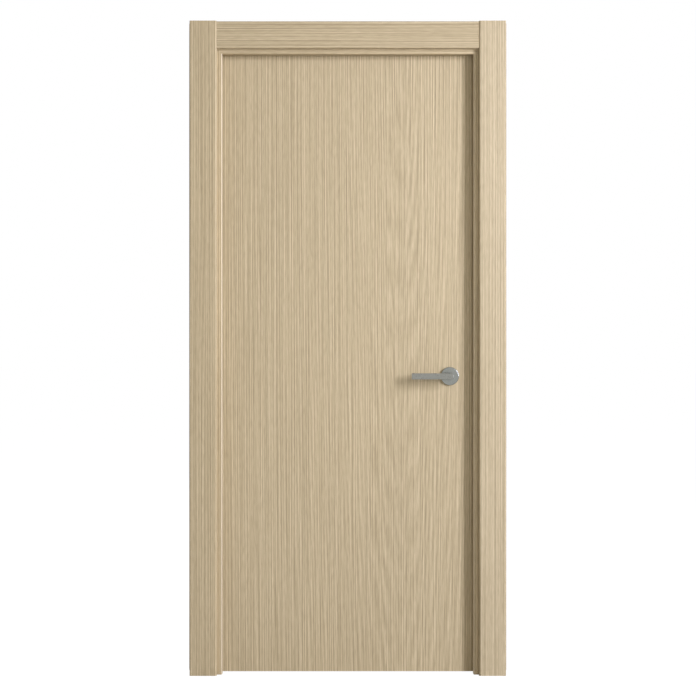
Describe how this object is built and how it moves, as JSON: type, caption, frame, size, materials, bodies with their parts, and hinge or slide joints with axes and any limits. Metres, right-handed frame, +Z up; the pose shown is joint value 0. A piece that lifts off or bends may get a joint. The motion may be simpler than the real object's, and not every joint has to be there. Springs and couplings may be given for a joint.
{
  "type": "interior door",
  "caption": "Flush oak-veneer interior door leaf hung in a rebated frame with flat casings on both wall faces, opened by lever handles on round roses.",
  "frame": {"origin": "on the wall face of the hinge jamb, at floor level and at half the frame depth", "axes": "+X from the hinge side to the latch side, +Y through the wall towards the side the leaf opens to, +Z up"},
  "size_m": [1.0505, 0.134, 2.14],
  "materials": {
    "oak_veneer_upright": "satin lacquer, grain upright",
    "oak_veneer_level": "satin lacquer, grain along the head",
    "core_wood": "planed softwood",
    "satin_nickel": "satin",
    "hinge_steel": "satin",
    "latch_steel": "satin",
    "seal_rubber": "matte beige"
  },
  "bodies": {
    "frame": {"hinge_jamb": "oak_veneer_upright", "latch_jamb": "oak_veneer_upright", "front_hinge_casing": "oak_veneer_upright", "front_latch_casing": "oak_veneer_upright", "back_hinge_casing": "oak_veneer_upright", "back_latch_casing": "oak_veneer_upright", "head_jamb": "oak_veneer_level", "front_head_casing": "oak_veneer_level", "back_head_casing": "oak_veneer_level", "hinge_side_seal": "seal_rubber", "latch_side_seal": "seal_rubber", "head_seal": "seal_rubber", "strike_plate": "latch_steel", "lower_hinge_frame_half": "hinge_steel", "middle_hinge_frame_half": "hinge_steel", "upper_hinge_frame_half": "hinge_steel"},
    "leaf": {"front_face_panel": "oak_veneer_upright", "back_face_panel": "oak_veneer_upright", "hinge_lipping": "oak_veneer_upright", "latch_lipping": "oak_veneer_upright", "hinge_stile": "core_wood", "latch_stile": "core_wood", "top_rail": "core_wood", "bottom_rail": "core_wood", "lower_hinge_leaf_half": "hinge_steel", "middle_hinge_leaf_half": "hinge_steel", "upper_hinge_leaf_half": "hinge_steel", "latch_case": "latch_steel", "latch_bolt": "latch_steel", "front_rose": "satin_nickel", "back_rose": "satin_nickel"},
    "handle": {"front_lever": "satin_nickel", "back_lever": "satin_nickel", "spindle": "latch_steel"}
  },
  "joints": [
    {"name": "leaf_swing", "type": "hinge", "parent": "frame", "child": "leaf", "pos_m": [0.0275, 0.042, 1], "axis": [0, 0, 1], "range_deg": [0, 110]},
    {"name": "lever_turn", "type": "hinge", "parent": "leaf", "child": "handle", "pos_m": [0.788, 0.015, 0.973], "axis": [0, -1, 0], "range_deg": [0, 45], "stiffness_Nm_per_rad": 1.5, "springref_deg": -28.65}
  ]
}
